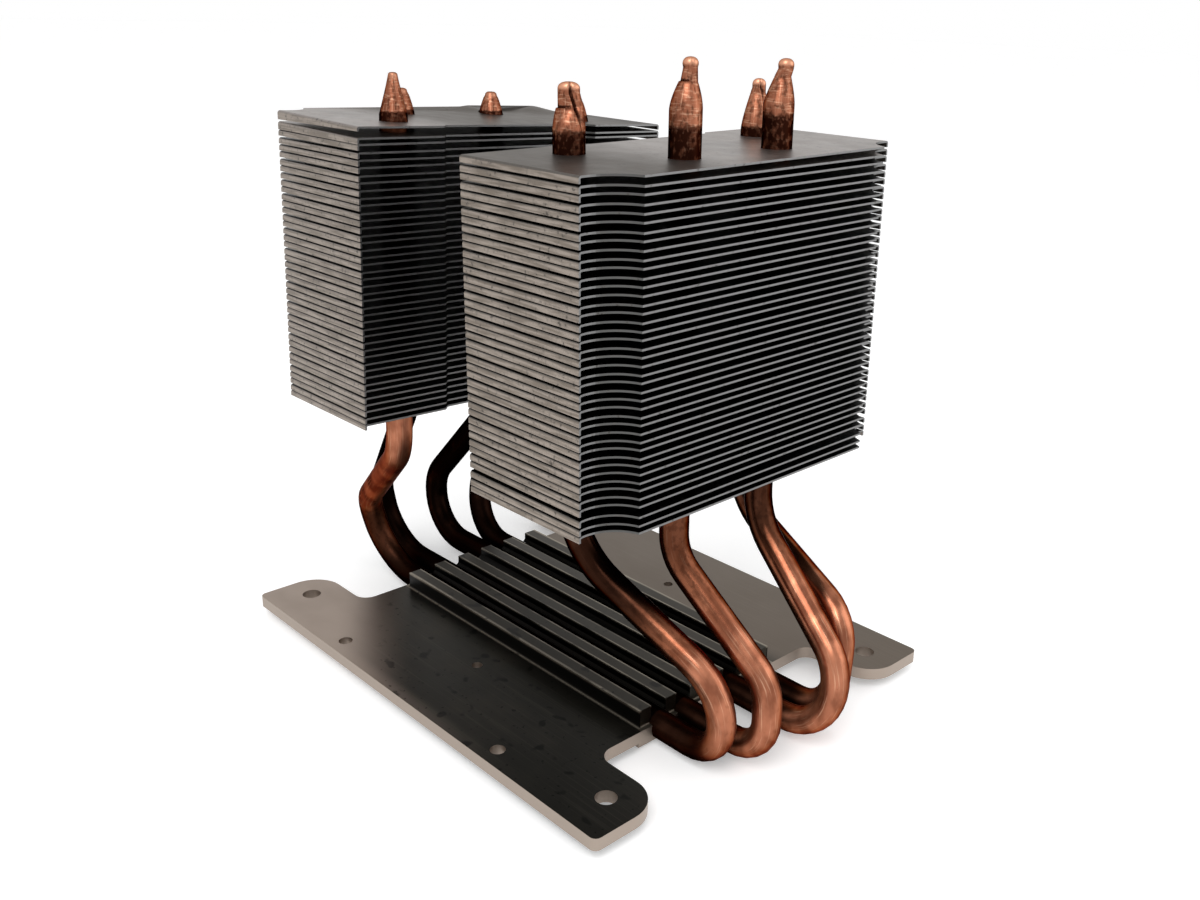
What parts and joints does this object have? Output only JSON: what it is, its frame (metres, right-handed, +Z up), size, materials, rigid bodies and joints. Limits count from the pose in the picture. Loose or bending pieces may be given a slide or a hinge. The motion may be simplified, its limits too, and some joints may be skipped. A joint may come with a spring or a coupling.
{
  "type": "heat pipe cooling assembly",
  "caption": "Passive tower cooler: U-shaped copper heat pipes rise from a ribbed aluminium base plate into two facing stacks of thin stamped fins.",
  "frame": {"origin": "middle of the flat contact face under the base block", "axes": "+X along the fins' long edge, +Y along the base from the front stack to the rear stack, +Z up"},
  "size_m": [0.101, 0.1464, 0.1377],
  "materials": {
    "base": "satin, stained, bright cut edges",
    "heat_pipes": "drawn copper, darkened and scratched",
    "front_fins": "rolled sheet, satin",
    "rear_fins": "rolled sheet, satin"
  },
  "bodies": {
    "root": {"base_plate": "base", "heat_pipe_1": "heat_pipes", "heat_pipe_2": "heat_pipes", "heat_pipe_3": "heat_pipes", "heat_pipe_4": "heat_pipes", "front_fins_01_02": "front_fins", "front_fins_03_04": "front_fins", "front_fins_05_06": "front_fins", "front_fins_07_08": "front_fins", "front_fins_09_10": "front_fins", "front_fins_11_12": "front_fins", "front_fins_13_14": "front_fins", "front_fins_15_16": "front_fins", "front_fins_17_18": "front_fins", "front_fins_19_20": "front_fins", "front_fins_21_22": "front_fins", "front_fins_23_24": "front_fins", "front_fins_25_26": "front_fins", "front_fins_27_28": "front_fins", "front_fins_29_30": "front_fins", "front_fins_31_32": "front_fins", "front_fins_33_34": "front_fins", "front_fins_35_36": "front_fins", "front_fins_37_38": "front_fins", "front_fins_39_40": "front_fins", "front_fins_41_42": "front_fins", "rear_fins_01_02": "rear_fins", "rear_fins_03_04": "rear_fins", "rear_fins_05_06": "rear_fins", "rear_fins_07_08": "rear_fins", "rear_fins_09_10": "rear_fins", "rear_fins_11_12": "rear_fins", "rear_fins_13_14": "rear_fins", "rear_fins_15_16": "rear_fins", "rear_fins_17_18": "rear_fins", "rear_fins_19_20": "rear_fins", "rear_fins_21_22": "rear_fins", "rear_fins_23_24": "rear_fins", "rear_fins_25_26": "rear_fins", "rear_fins_27_28": "rear_fins", "rear_fins_29_30": "rear_fins", "rear_fins_31_32": "rear_fins", "rear_fins_33_34": "rear_fins", "rear_fins_35_36": "rear_fins", "rear_fins_37_38": "rear_fins", "rear_fins_39_40": "rear_fins", "rear_fins_41_42": "rear_fins"}
  },
  "joints": []
}
